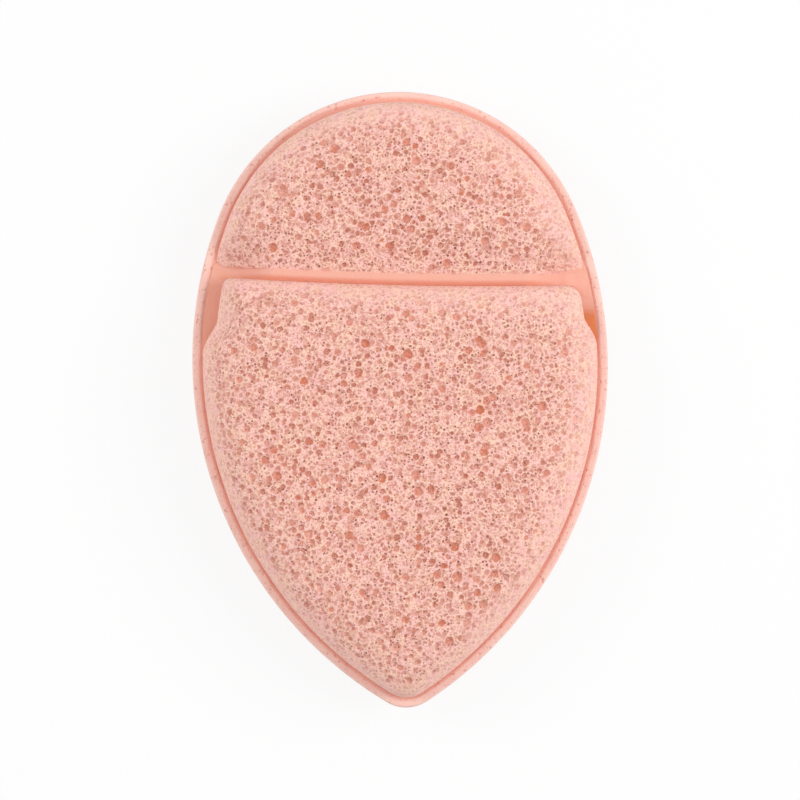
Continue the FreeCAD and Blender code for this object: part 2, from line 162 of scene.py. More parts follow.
def cells(points, normals, pitch, small, large, share, most, seed):
    """Depth of the open cells at each point of a cut surface, how far the point lies inside the nearest
    cell's rim, negative outside, and a random number for that cell.

    One bubble sits at a random place in each cube of the pitch, for a share of the cubes, with a radius
    from small to large in parts of the pitch.  Where a point lies inside a bubble, the pit goes straight
    in along the normal to the bubble's far wall, no deeper than most, and eases off towards the rim.
    """
    size = 40
    table = np.random.default_rng(seed).random((size, size, size, 6))
    home = np.floor(points / pitch).astype(int)
    depth, within, chance = np.zeros(len(points)), np.full(len(points), -pitch), np.zeros(len(points))
    for step in np.ndindex(3, 3, 3):
        cube = home + np.array(step) - 1
        luck = table[tuple((cube % size).T)]
        radius = pitch * (small + (large - small) * luck[:, 3])
        away = (cube + luck[:, :3]) * pitch - points
        below = -np.einsum("ij,ij->i", away, normals)
        square = np.einsum("ij,ij->i", away, away)
        rim = radius - np.sqrt(square)
        floor = below + np.sqrt(np.maximum(radius * radius - square + below * below, 0))
        pit = most * (1 - np.exp(-floor / most)) * ease(0, 0.6 * radius, rim)
        there = luck[:, 4] < share
        depth = np.maximum(depth, np.where(there, pit, 0))
        nearer = there & (rim > within)
        within, chance = np.where(nearer, rim, within), np.where(nearer, luck[:, 5], chance)
    return depth, within, chance


def open_cells(points, normals, clear):
    """Depth of the foam's bowls, and for the large and the middling ones how far inside their rims a
    point lies and their random numbers.

    Both sizes get smaller and shallower where the skin is pressed, which is where clear is small.
    """
    flat, facing, clear = points.reshape(-1, 3), normals.reshape(-1, 3), clear.ravel()
    deep, large, large_luck = cells(flat, facing, **LARGE_CELLS)
    slight, middling, middling_luck = cells(flat, facing, **MIDDLING_CELLS)
    shut, nearly = ease(LARGE_OPEN, LARGE_SHUT, clear), ease(MIDDLING_OPEN, MIDDLING_SHUT, clear)
    depth = np.maximum(deep * (1 - shut), slight * (1 - nearly))
    large, middling = large - LARGE_SHRINK * shut, middling - MIDDLING_SHRINK * nearly
    seen = np.stack([large, middling, large_luck, middling_luck], axis=-1)
    return depth.reshape(points.shape[:-1]), seen.reshape(*points.shape[:-1], 4)


def surface(name, points, faces, marks):
    """Mesh object from points in millimetres, quads and triangles, and one number per point for each
    mark, all put in as whole arrays."""
    mesh = bpy.data.meshes.new(name)
    mesh.vertices.add(len(points))
    mesh.vertices.foreach_set("co", (points * 0.001).astype(np.float32).ravel())
    sizes = np.concatenate([np.full(len(group), group.shape[1]) for group in faces])
    loops = np.concatenate([group.ravel() for group in faces])
    mesh.loops.add(len(loops))
    mesh.loops.foreach_set("vertex_index", loops.astype(np.int32))
    mesh.polygons.add(len(sizes))
    mesh.polygons.foreach_set("loop_start", (np.cumsum(sizes) - sizes).astype(np.int32))
    mesh.polygons.foreach_set("use_smooth", np.ones(len(sizes), bool))
    mesh.update(calc_edges=True)
    for key, values in marks.items():
        mesh.attributes.new(key, "FLOAT", "POINT").data.foreach_set("value", values.astype(np.float32))
    piece = bpy.data.objects.new(name, mesh)
    bpy.context.scene.collection.objects.link(piece)
    return piece


def skin_run_with_painted_light(x, y):
    """How much further than on the left the pale skin reaches in: a straight slope, most on the right
    and a little more towards the round end. This is painted light: the paler foam stands in for the
    light falling more strongly on those sides."""
    return 1 + PAINTED_LIGHT_SKIN_EXTRA * np.clip(0.3 + 1.6 * x / WIDTH + 0.8 * y / LENGTH, 0, 1)


def skin(x, y, clear):
    """How far the cells are pressed shut, 0 to 1: a near part that ends within a few millimetres of the
    pressed foam, and a far part that thins out slowly. The near part reaches further in on the right
    and towards the round end, as painted light."""
    # Painted light: the near skin is widened on the brighter side, which pales the foam there.
    near = ease(SKIN_RUN, SKIN_FULL, clear / skin_run_with_painted_light(x, y))
    return SKIN_NEAR * near + SKIN_FAR * ease(SKIN_TAIL, SKIN_FULL, clear)


def pad(name, room, centre, count, top, wall, under, clear, tone_and_painted_shade, flip=False):
    """Closed foam pad over a star-shaped region.

    The face is a square grid with its height from top(); the wall runs from its edge in two arcs,
    first out to the region's edge and then back under to the foot, whose heights and depth wall()
    gives; the far side closes in rings to the centre at the height under().  flip turns the pad over.
    """
    x, y = spread(lambda u, v: room(u, v) - MARGIN, centre, count)
    face = np.stack([x, y, top(x, y)], axis=-1)
    face_out = normals_of(face) * (-1 if flip else 1)
    depth, seen = open_cells(face, face_out, clear(x, y))
    face = face - face_out * depth[..., None]

    rim_x, rim_y = rim_of(x), rim_of(y)
    in_x, in_y = inward(room, rim_x, rim_y)
    edge_z = top(rim_x, rim_y)
    step = 0.05
    slope = (top(rim_x + step * in_x, rim_y + step * in_y) - edge_z) / step
    side_z, foot_z, foot_in = wall(rim_x, rim_y, edge_z)
    t = np.linspace(0, 1, ARC_STEPS)[1:, None]
    bend_z = edge_z - slope * MARGIN
    upper_in = np.broadcast_to(MARGIN * (1 - t) ** 2, (len(t), len(rim_x)))
    upper_z = (1 - t) ** 2 * edge_z + 2 * t * (1 - t) * bend_z + t * t * side_z
    lower_in = foot_in * t * t
    lower_z = (1 - t) ** 2 * side_z + (2 * t * (1 - t) + t * t) * foot_z
    wall_in = np.concatenate([upper_in, lower_in]) - MARGIN
    wall_x, wall_y = rim_x + in_x * wall_in, rim_y + in_y * wall_in
    band = np.stack([wall_x, wall_y, np.concatenate([upper_z, lower_z])], axis=-1)
    band_out = normals_of(band, closed=True) * (1 if flip else -1)
    fade = np.concatenate([1 - WALL_FADE * t, np.zeros_like(t)])
    band_depth, band_seen = open_cells(band, band_out, clear(band[..., 0], band[..., 1]))
    band_seen[..., :2] += (fade - 1)[..., None]
    band = band - band_out * (band_depth * fade)[..., None]

    share = (np.arange(1, LINING_RINGS) / LINING_RINGS)[:, None]
    in_x = centre[0] + (wall_x[-1] - centre[0]) * (1 - share)
    in_y = centre[1] + (wall_y[-1] - centre[1]) * (1 - share)
    settle = ease(0, LINING_SETTLE, share)
    in_z = foot_z * (1 - settle) + under(in_x, in_y) * settle
    lining = np.stack([in_x, in_y, in_z], axis=-1)
    pole = np.array([[centre[0], centre[1], float(under(np.array(centre[0]), np.array(centre[1])))]])
    points = np.concatenate([face.reshape(-1, 3), band.reshape(-1, 3), lining.reshape(-1, 3), pole])

    index = np.arange(count * count).reshape(count, count)
    corners = index[:-1, :-1], index[1:, :-1], index[1:, 1:], index[:-1, 1:]
    quads = np.stack([corner.ravel() for corner in corners], axis=1)
    around = len(rim_x)
    rings = np.arange(count * count, len(points) - 1).reshape(-1, around)
    rings = np.concatenate([rim_of(index)[None], rings])
    after = np.roll(rings, -1, axis=1)
    strips = rings[:-1], rings[1:], after[1:], after[:-1]
    quads = np.concatenate([quads, np.stack([strip.ravel() for strip in strips], axis=1)])
    fan = np.stack([rings[-1], np.full(around, len(points) - 1), after[-1]], axis=1)
    if flip:
        quads, fan = quads[:, ::-1], fan[:, ::-1]

    none = np.tile([-1.0, -1.0, 0.0, 0.0], (lining.size // 3 + 1, 1))
    seen = np.concatenate([seen.reshape(-1, 4), band_seen.reshape(-1, 4), none])
    marks = dict(zip(("large", "middling", "large_luck", "middling_luck"), seen.T))
    x, y, z = points.T
    marks["skin"] = skin(x, y, clear(x, y))
    marks["tone_and_painted_shade"] = tone_and_painted_shade(x, y, z)
    return surface(name, points, [quads, fan], marks)


def colour(red, green, blue):
    """Linear colour from the 0 to 255 numbers of a screen colour, by the sRGB curve."""
    parts = np.array([red, green, blue]) / 255
    linear = np.where(parts <= 0.04045, parts / 12.92, ((parts + 0.055) / 1.055) ** 2.4)
    return (*linear, 1.0)


def node(tree, kind, inputs=(), **settings):
    """New shader node with its settings and inputs; an input is a number, a colour or a socket."""
    made = tree.nodes.new(kind)
    for key, value in settings.items():
        setattr(made, key, value)
    for key, value in dict(inputs).items():
        if isinstance(value, bpy.types.NodeSocket):
            tree.links.new(value, made.inputs[key])
        else:
            made.inputs[key].default_value = value
    return made


def mark(tree, name):
    """Socket with the number that the mesh carries under a name."""
    return node(tree, "ShaderNodeAttribute", attribute_name=name).outputs["Fac"]


def blend_colour(tree, share, first, second):
    """Mix of two colours by a share: the first at 0, the second at 1."""
    mixed = node(tree, "ShaderNodeMix", {"Factor": share}, data_type="RGBA")
    for socket, value in ((mixed.inputs[6], first), (mixed.inputs[7], second)):
        if isinstance(value, bpy.types.NodeSocket):
            tree.links.new(value, socket)
        else:
            socket.default_value = value
    return mixed.outputs[2]


def sum_of(tree, first, second, operation="ADD"):
    """Sum of two numbers, or what another operation makes of them."""
    return node(tree, "ShaderNodeMath", {0: first, 1: second}, operation=operation).outputs[0]


def product_of(tree, first, second):
    """Product of two numbers."""
    return sum_of(tree, first, second, "MULTIPLY")


def noise(tree, place, scale, detail):
    """Socket with a cloudy random number, mostly from 0.3 to 0.7."""
    inputs = {"Vector": place, "Scale": scale, "Detail": detail}
    return node(tree, "ShaderNodeTexNoise", inputs).outputs["Fac"]


def ramp(tree, value, low, high, start=0.0, end=1.0):
    """Number carried from low..high to start..end along a smooth step."""
    inputs = {"Value": value, "From Min": low, "From Max": high, "To Min": start, "To Max": end}
    return node(tree, "ShaderNodeMapRange", inputs, interpolation_type="SMOOTHSTEP").outputs["Result"]


def bubbles(tree, place, scale, small, large, wall):
    """Round cells packed close and cut through: how far a point lies inside the nearest bubble's rim or
    the wall to the next bubble, in parts of their spacing, and a random number for each bubble."""
    inputs = {"Vector": place, "Scale": scale}
    pattern = node(tree, "ShaderNodeTexVoronoi", inputs)
    walls = node(tree, "ShaderNodeTexVoronoi", inputs, feature="DISTANCE_TO_EDGE")
    luck = node(tree, "ShaderNodeSeparateColor", {"Color": pattern.outputs["Color"]}).outputs
    reach = ramp(tree, luck["Red"], 0.0, 1.0, small, large)
    from_rim = sum_of(tree, reach, pattern.outputs["Distance"], "SUBTRACT")
    from_wall = sum_of(tree, walls.outputs["Distance"], wall, "SUBTRACT")
    return sum_of(tree, from_rim, from_wall, "MINIMUM"), luck["Green"]


def finish_with(material, base, relief, strength, roughness, specular):
    """Wires a colour and a relief to the material's shader and sets its gloss."""
    tree = material.node_tree
    shader = tree.nodes["Principled BSDF"]
    tree.links.new(base, shader.inputs["Base Color"])
    bump = node(tree, "ShaderNodeBump", {"Height": relief, "Strength": strength, "Distance": 0.0003})
    tree.links.new(bump.outputs["Normal"], shader.inputs["Normal"])
    shader.inputs["Roughness"].default_value = roughness
    shader.inputs["Specular IOR Level"].default_value = specular


def open_foam():
    """Open-cell foam: a pale web with round cells of five sizes cut through it, each with a thin pale
    wall round it and no two quite alike, and faint deeper cells behind; the cells' darker colours are
    painted shade inside the pores. All of them close where the foam is pressed, and the foot of a wall
    is plain, and warm as painted shade in the corner."""
    material = bpy.data.materials.new("open_cell_foam")
    material.use_nodes = True
    tree = material.node_tree
    place = node(tree, "ShaderNodeTexCoord").outputs["Object"]
    # Closed skin is paler; where it is widened on the right, that paleness is painted light.
    open_share = ramp(tree, mark(tree, "skin"), 0.0, 1.0, 1.0, 0.38)
    tint = ramp(tree, noise(tree, place, 420.0, 2.0), 0.3, 0.7)
    uneven = ramp(tree, noise(tree, place, 1500.0, 1.0), 0.25, 0.75, -0.16, 0.16)
    mottle = ramp(tree, noise(tree, place, 1700.0, 2.0), 0.3, 0.7, -0.5, 0.5)
    grain = noise(tree, place, 2600.0, 1.0)
    worn = product_of(tree, ramp(tree, grain, 0.35, 0.75, 0.0, 0.7), open_share)
    web = blend_colour(tree, tint, colour(255, 212, 191), colour(255, 204, 198))
    web = blend_colour(tree, worn, web, colour(236, 172, 154))
    finest = bubbles(tree, place, 1900.0, 0.35, 0.80, 0.04)
    fine = bubbles(tree, place, 950.0, 0.42, 0.90, 0.05)
    middling = sum_of(tree, mark(tree, "middling"), uneven)
    middling_luck = sum_of(tree, mark(tree, "middling_luck"), mottle)
    large = sum_of(tree, mark(tree, "large"), uneven)
    large_luck = sum_of(tree, mark(tree, "large_luck"), mottle)
    pinholes = bubbles(tree, place, 1450.0, -0.25, 0.48, 0.05)
    # Of each size: inside, luck, width of wall, softness of rim, depth, lightest and darkest colour.
    # Painted shade: each cell is darker than the web, standing in for the shade inside the pore, by a
    # random amount.
    layers = (
        (*finest, 0.03, 0.20, 0.2, (234, 172, 156), (202, 136, 120)),
        (*fine, 0.08, 0.22, 0.5, (233, 169, 152), (187, 119, 103)),
        (middling, middling_luck, 0.15, 0.18, 0.0, (232, 168, 151), (198, 123, 103)),
        (large, large_luck, 0.18, 0.26, 0.0, (234, 168, 150), (213, 128, 99)),
        (*pinholes, 0.02, 0.18, 0.6, (190, 120, 104), (150, 84, 72)),
    )
    shown, relief = web, 0.0
    for inside, luck, wall, soft, pit, light, dark in layers:
        round_it = product_of(tree, ramp(tree, inside, -wall, -0.3 * wall), open_share)
        within = product_of(tree, ramp(tree, inside, 0.0, soft), open_share)
        shade = blend_colour(tree, luck, colour(*light), colour(*dark))
        shown = blend_colour(tree, within, blend_colour(tree, round_it, shown, web), shade)
        relief = sum_of(tree, relief, product_of(tree, within, pit), "SUBTRACT")
    # Painted shade: deeper cells behind the web show as darker patches.
    deeper, deeper_luck = bubbles(tree, place, 620.0, 0.40, 0.75, 0.06)
    faint = ramp(tree, deeper_luck, 0.0, 1.0, 0.0, 0.45)
    faint = product_of(tree, ramp(tree, deeper, 0.0, 0.12), faint)
    faint = product_of(tree, faint, open_share)
    shown = blend_colour(tree, faint, shown, colour(206, 132, 112))
    speckle = product_of(tree, ramp(tree, grain, 0.5, 0.8, 0.0, 0.5), open_share)
    shown = blend_colour(tree, speckle, shown, colour(176, 108, 92))
    # Painted shade: the foot of each wall is warmed where it meets the pressed foam.
    shown = blend_colour(tree, mark(tree, "tone_and_painted_shade"), shown, colour(246, 184, 162))
    finish_with(material, shown, relief, 0.5, 0.9, 0.2)
    return material


FOAM = open_foam()


def back_room(x, y):
    """Distance inside the pressed edge."""
    return inset(x, y) - EDGE


def back_under(x, y):
    """Underside of the back sheet, crowned downwards and flat where it lies."""
    return np.maximum(WELD - HALF_EDGE - BACK_RISE * crown(x, y), 0)


def back_wall(x, y, edge_z):
    """Level wall: its outermost height, its foot just short of the front sheet, and no tuck."""
    return np.full_like(x, WELD - BACK_SIDE), np.full_like(x, WELD - HAIR), np.full_like(x, HAIR)


def back_inside(x, y):
    """Flat inner face, a hair below the plane where the sheets meet."""
    return np.full_like(x, WELD - HAIR)


def back_painted_shade(x, y, z):
    """Painted shade, warm towards the foot of the wall, a smooth step over its last millimetre and a
    half.
    """
    return ease(WELD - 1.6, WELD - 0.6, z)


back = pad("back_sheet", back_room, (0.0, 0.0), 330, back_under, back_wall, back_inside,
           back_room, back_painted_shade, flip=True)
back.data.materials.append(FOAM)
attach(back, "sponge")
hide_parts("back_pad")


# Pressed edge.
# Both sheets are melted together into a thin firm band round the outline, with a rounded bead outside
# and a groove on each face where the press tool ran; the bead wavers a little, as cut foam does.
BEAD_HALF, BEAD_POWER, BEAD_SWELL = 0.6, 2.4, 0.07
WEB_HALF = 0.80
RING_WIDE, RING_STEPS, RING_TURNS = 2.4, 22, 1800
SINK_START, SINK_END = 0.85, 1.7
GROOVE_IN, GROOVE_DRIFT = 0.4, 0.12
ROUND_END_START, ROUND_END_FULL, ROUND_END_SHARE = 46.0, 57.0, 0.9
GROOVE_SHADE_WARM, GROOVE_SHADE_ORANGE = 0.28, 0.42
BEAD_PITS = {"pitch": 0.9, "small": 0.20, "large": 0.42, "share": 0.6, "most": 0.14, "seed": 23}


def waver(turn, seed, waves):
    """Slow wobble round the outline: a sum of whole waves with random phases, about -1 to 1."""
    luck = np.random.default_rng(seed)
    total = np.zeros_like(turn)
    for wave in waves:
        total += np.cos(wave * turn + luck.uniform(0, 2 * math.pi)) * luck.uniform(0.3, 1.0)
    return total / math.sqrt(len(waves))


# The profile runs from the groove of the front over the bead to the groove of the back, carried round
# the outline; the groove lies a little further in along the sides than at the round end.
turn = np.linspace(0, 2 * math.pi, RING_TURNS + 1)[:-1]
reach = reach_of(inset, (0.0, 0.0), turn)
line_x, line_y = reach * np.cos(turn), reach * np.sin(turn)
to_x, to_y = inward(inset, line_x * 0.999, line_y * 0.999)
across = RING_WIDE * (0.5 - 0.5 * np.cos(np.linspace(0, math.pi, RING_STEPS)))
from_crest = np.abs((across - BEAD_HALF) / BEAD_HALF)
round_off = np.clip(1 - from_crest ** BEAD_POWER, 0, 1) ** (1 / BEAD_POWER)
swell = 1 + BEAD_SWELL * waver(turn, 21, range(5, 40, 3))
height = HALF_EDGE * swell[:, None] * round_off
round_end = ease(ROUND_END_START, ROUND_END_FULL, line_y)
groove_at = GROOVE_IN * (1 - ROUND_END_SHARE * round_end)[:, None]
sink = HALF_EDGE - (HALF_EDGE - WEB_HALF) * ease(SINK_START, SINK_END, across - groove_at)
height = np.where(across > BEAD_HALF, swell[:, None] * sink, height)
drift_in = GROOVE_DRIFT * waver(turn, 22, range(3, 30, 2))[:, None]
drift_in = drift_in * ease(0, 1.2, across) * ease(RING_WIDE, 1.6, across)
loop_in = np.tile(np.concatenate([across[::-1], across[1:]]), (len(turn), 1))
loop_in = loop_in + np.concatenate([drift_in[:, ::-1], drift_in[:, 1:]], axis=1)
loop_z = np.concatenate([height[:, ::-1], -height[:, 1:]], axis=1)
loop_x = line_x[:, None] + to_x[:, None] * loop_in
loop_y = line_y[:, None] + to_y[:, None] * loop_in
ring_points = np.stack([loop_x, loop_y, WELD + loop_z], axis=-1)
ring_out = normals_of(ring_points, closed=True)
back_row = RING_STEPS + 8
ring_out = ring_out * np.sign(np.mean(ring_out[:, back_row, 2]) * np.mean(loop_z[:, back_row]))
pit_depth, pit_rim, _ = cells(ring_points.reshape(-1, 3), ring_out.reshape(-1, 3), **BEAD_PITS)
on_bead = ease(2.0, 1.5, loop_in)
ring_points = ring_points - ring_out * (pit_depth.reshape(loop_in.shape) * on_bead)[..., None]
index = np.arange(loop_x.size).reshape(loop_x.shape)
ahead, over = np.roll(index, -1, axis=0), np.roll(index, -1, axis=1)
both = np.roll(ahead, -1, axis=1)
quads = np.stack([index.ravel(), over.ravel(), both.ravel(), ahead.ravel()], axis=1)
# Painted shade: the groove turns warm and then orange towards its inner side.
groove_painted_shade = GROOVE_SHADE_WARM * ease(0.9, SINK_END, loop_in - groove_at)
groove_painted_shade = groove_painted_shade + GROOVE_SHADE_ORANGE * ease(1.4, 2.1, loop_in - 0.4 * groove_at)
edge = surface("pressed_edge", ring_points.reshape(-1, 3), [quads],
               {"tone_and_painted_shade": groove_painted_shade.ravel(), "pit": pit_rim})


def pressed_foam():
    """Foam melted smooth: pink, a little glossier than the open foam, with faint flattened cells; the
    pits of the bead are darker as painted shade, the hem is warm, and the groove, the crevice and the
    gaps go warm to orange as painted shade."""
    material = bpy.data.materials.new("pressed_foam")
    material.use_nodes = True
    tree = material.node_tree
    place = node(tree, "ShaderNodeTexCoord").outputs["Object"]
    tint = ramp(tree, noise(tree, place, 260.0, 4.0), 0.3, 0.7)
    plain = blend_colour(tree, tint, colour(252, 211, 198), colour(249, 202, 190))
    dots = ramp(tree, bubbles(tree, place, 1700.0, 0.1, 0.4, 0.05)[0], 0.0, 0.2)
    # Painted shade: the pits in the bead are darker.
    pit_shade = ramp(tree, mark(tree, "pit"), 0.0, 0.14, 0.0, 0.7)
    pitted = blend_colour(tree, pit_shade, plain, colour(226, 158, 142))
    dotted = blend_colour(tree, product_of(tree, dots, 0.4), pitted, colour(208, 136, 118))
    # Warm to orange: painted shade in the groove, the crevice and the gaps, and the hem's own warm tone.
    tone_and_painted_shade = mark(tree, "tone_and_painted_shade")
    warm = blend_colour(tree, ramp(tree, tone_and_painted_shade, 0.0, 0.6), dotted, colour(241, 178, 158))
    groove = blend_colour(tree, ramp(tree, tone_and_painted_shade, 0.6, 1.0), warm, colour(233, 140, 90))
    relief = sum_of(tree, product_of(tree, dots, -0.3), noise(tree, place, 1300.0, 3.0))
    finish_with(material, groove, relief, 0.35, 0.7, 0.3)
    return material


PRESSED = pressed_foam()
edge.data.materials.append(PRESSED)
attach(edge, "sponge")
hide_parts("edge_weld")


# Upper panel.
# The round end of the front sheet, pressed down all round so that it stays a closed cushion; beside the
# slit it sinks a little to its hem, and its lower corners are rounded off where the hem meets the edge.
UPPER_RISE, UPPER_CORNER = 8.7, 1.5
SLIT_Y, SLIT_SKEW, SLIT_SAG, SLIT_HALF = 22.45, -0.042, 0.86, 35.5
STRIP_HIGH = 1.75
HEM_FOOT, HEM_RISE = 1.1, 6.6
HEM_START, HEM_END = 24.0, 34.5
SLIT_SLOPE, SLIT_SKIN = 9.0, 12
WALL_SIDE, WALL_FOOT, WALL_TUCK = 2.0, 0.5, 0.7
HEM_SUNK, HEM_TUCK = 0.4, 0.1


def slit(x):
    """Line of the slit: a little askew and bowed, cut by hand across the sheet."""
    return SLIT_Y + SLIT_SKEW * x + SLIT_SAG * (x / SLIT_HALF) ** 2


def above_hem(x, y):
    """Distance above the upper border of the hem along the slit."""
    return y - slit(x) - STRIP_HIGH


def rounded(a, b, radius):
    """Distance inside two edges whose corner is rounded off: near the corner the radius less the
    distance from the rounding's centre, elsewhere the nearer of the two."""
    both = radius - np.hypot(np.maximum(radius - a, 0), np.maximum(radius - b, 0))
    nearer = np.minimum(a, b)
    return np.where(nearer > radius, nearer, both)


def upper_room(x, y):
    """Distance inside the pressed edge and the hem, with rounded corners between them."""
    return rounded(inset(x, y) - EDGE, above_hem(x, y), UPPER_CORNER)


def hem(x):
    """Height of the hem along the slit: full over the middle, down to the pressed edge at both ends."""
    return WELD + HEM_FOOT + HEM_RISE * ease(HEM_END, HEM_START, np.abs(x))


def upper_top(x, y):
    """Crown of the panel, which sinks a little to the height of the hem along the slit."""
    full = WELD + HALF_EDGE + UPPER_RISE * crown(x, y)
    return full + (np.minimum(hem(x), full) - full) * ease(SLIT_SLOPE, -1.0, above_hem(x, y))


def along_edge(x, y):
    """0 along the hem, 1 along the pressed edge, a smooth step within a few millimetres."""
    return ease(1.5, 4.0, above_hem(x, y))


def upper_wall(x, y, edge_z):
    """Foot of the wall: tucked under along the edge, sunk into the hem along the slit."""
    away = along_edge(x, y)
    side = (WELD + WALL_SIDE) * away + (hem(x) - HEM_SUNK) * (1 - away)
    foot = WELD + HEM_TUCK + (WALL_FOOT - HEM_TUCK) * away
    return side, foot, HEM_TUCK + (WALL_TUCK - HEM_TUCK) * away


def upper_under(x, y):
    """Flat inner face, a hair above the plane where the sheets meet."""
    return np.full_like(x, WELD + HAIR)


def upper_clear(x, y):
    """Distance from pressed foam: the skin along the edge reaches far further in than at the slit."""
    return np.minimum(inset(x, y) - EDGE, SLIT_SKIN * above_hem(x, y))


def foot_painted_shade(x, y, z):
    """Painted shade, warm towards the foot of the wall, where it is squeezed into the pressed edge."""
    return 1 - ease(WELD + 0.6, WELD + 1.6, z)


def upper_painted_shade(x, y, z):
    """Painted shade, warm at the foot of the wall along the edge, but not along the hem."""
    return foot_painted_shade(x, y, z) * along_edge(x, y)


upper = pad("upper_panel_foam", upper_room, (0.0, 40.0), 260, upper_top, upper_wall, upper_under,
            upper_clear, upper_painted_shade)
upper.data.materials.append(FOAM)
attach(upper, "sponge")
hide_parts("upper_panel")


# Pocket sheet.
# The lower front sheet, pressed to the edge as far up as the bending line and arched over the finger
# space; its top 12 mm hang free as the lip, with a rounded foam edge, and bend up with the fingers.
POCKET_RISE = 11.2
CEILING, CEILING_FOOT, CEILING_RUN = 5.2, 5.5, 12.0
BEND_Y = 10.7
LIP_GAP, LIP_RUN, LIP_DROP = 0.36, 9.0, 5.0
LEFT_CORNER, RIGHT_CORNER = 1.5, 2.8
LEFT_IN, RIGHT_IN = 2.6, 2.1
LIP_FLOAT, LIP_FOOT, LIP_TUCK = 2.0, 0.2, 1.6


def free(y):
    """0 where the sheet is pressed to the edge, 1 where the lip is free."""
    return ease(BEND_Y - 0.6, BEND_Y + 1.8, y)


def below_slit_line(x, y):
    """Distance of a point below the lip's edge along the slit."""
    return slit(x) - LIP_GAP - y


def pocket_room(x, y):
    """Distance inside the sheet's edge, which draws in from the pressed edge along the free sides,
    slowly on the left and within a few millimetres on the right."""
    left = LEFT_IN * ease(BEND_Y - 1.3, BEND_Y + 5.3, y)
    right = RIGHT_IN * ease(BEND_Y - 0.9, BEND_Y + 4.5, y)
    from_side = inset(x, y) - EDGE - np.where(x < 0, left, right)
    return rounded(from_side, below_slit_line(x, y), np.where(x < 0, LEFT_CORNER, RIGHT_CORNER))


def dome(t):
    """Quarter of an ellipse: steep at t = 0, level from t = 1 on."""
    t = np.clip(t, 0, 1)
    return np.sqrt(t * (2 - t))


def pocket_top(x, y):
    """Crown of the sheet, less the roll of the lip's edge: a quarter ellipse down to its full drop."""
    drop = LIP_DROP * (1 - dome(pocket_room(x, y) / LIP_RUN)) * free(y)
    return WELD + HALF_EDGE + POCKET_RISE * crown(x, y) - drop


def pocket_under(x, y):
    """Ceiling of the finger space, a quarter ellipse in from the edge, with the lip held a little off
    the back sheet."""
    arch = dome((inset(x, y) - EDGE - CEILING_FOOT) / CEILING_RUN)
    return WELD + HAIR + np.maximum(CEILING * arch, LIP_FLOAT * free(y))


def pocket_wall(x, y, edge_z):
    """Foot of the wall: tucked under along the edge; round the lip half way down and then well under."""
    loose = free(y)
    below = pocket_under(x, y)
    side = (WELD + WALL_SIDE) * (1 - loose) + (edge_z + below) / 2 * loose
    foot = (WELD + WALL_FOOT) * (1 - loose) + (below + LIP_FOOT) * loose
    return side, foot, WALL_TUCK + LIP_TUCK * loose


def pocket_clear(x, y):
    """Distance from pressed foam, along the edge and along the lip's skin, which is half as deep."""
    return np.minimum(pocket_room(x, y), 2 * below_slit_line(x, y))


def pocket_painted_shade(x, y, z):
    """Painted shade, warm at the foot of the wall, half as much round the free lip."""
    return foot_painted_shade(x, y, z) * (1 - 0.5 * free(y))


pocket = pad("pocket_sheet", pocket_room, (0.0, -10.0), 400, pocket_top, pocket_wall, pocket_under,
             pocket_clear, pocket_painted_shade)
pocket.data.materials.append(FOAM)
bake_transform(pocket)
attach(pocket, "sponge")
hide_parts("pocket_panel", "pocket_lip")


# Hem along the slit.
# The cut border of the upper panel, melted smooth and standing up to the panel's edge, with a narrow
# ledge in front of the lip; at both ends it comes down to the back sheet and widens into a tab.
STRIP_HALF, STRIP_STEPS, STRIP_IN = 36.9, 421, 1.9
FRONT, LEDGE, LEDGE_DROP = 0.5, 0.4, 0.9
HEM_BACK, HEM_BACK_SLOPE = (1.3, 1.7, 2.1, 2.7, 3.4), 0.5
TAB_ROWS, TAB_START, TAB_FULL, TAB_LIFT = 24, 27.0, 33.5, 3.2
TAB_HIGH, TAB_LOW = 2.1, 0.9
TAB_FALL, TAB_FOOT = -3.4, -7.2
LEFT_DROP, RIGHT_DROP = 15.3, 11.4
# The hem's warm tone, and the painted shade added in the crevice and in the gaps.
HEM_TINT, CREVICE_SHADE = 0.6, 0.14
LEFT_GAP_SHADE, RIGHT_GAP_SHADE = 0.1, 0.4

# The strip is a grid from end to end, by rows at their distances above the slit's line: the tabs' rows,
# drawn together over the middle, the front, the ledge and top, and the rows hidden under the panel.
run = np.linspace(-1, 1, STRIP_STEPS)[:, None]
nominal = run * STRIP_HALF
widen = ease(TAB_START, TAB_FULL, np.abs(nominal))
lowest = -FRONT - 0.1 - np.where(nominal > 0, RIGHT_DROP, LEFT_DROP) * widen
tab_share = np.linspace(0, 1, TAB_ROWS + 1)[None, :-1]
tab_v = lowest + (-FRONT - lowest) * tab_share
hem_v = np.concatenate([np.linspace(-FRONT, -LEDGE, 6), np.linspace(-0.2, 1.0, 13), HEM_BACK])[None]
hem_v = hem_v + TAB_LIFT * widen * ease(HEM_BACK[2], HEM_BACK[-1], hem_v)
above = np.concatenate([tab_v, hem_v], axis=1)
middle = ease(HEM_END, HEM_START, np.abs(nominal))
front = ease(-FRONT, -LEDGE, above)
ledge = LEDGE_DROP * ease(0.9, -0.6, above)
slope_in = HEM_BACK_SLOPE * np.maximum(above - STRIP_HIGH, 0)
top_z = WELD + HEM_FOOT + (HEM_RISE - ledge) * middle * front - slope_in
right_tab = ease(TAB_FOOT, TAB_FALL, above) * ease(30, 33, nominal)
below_slit = ease(0, -2, above) * widen
top_z = top_z + (TAB_LOW - HEM_FOOT) * below_slit + (TAB_HIGH - TAB_LOW) * right_tab * widen
top_y = slit(nominal) + above
strip_y = np.concatenate([top_y, top_y[:, ::-1]], axis=1)
strip_z = np.concatenate([top_z, np.full_like(top_z, WELD - 0.05)], axis=1)
half = SIDE_RADIUS - STRIP_IN
strip_x = run * (np.sqrt(half * half - (strip_y - SIDE_Y) ** 2) - SIDE_X)
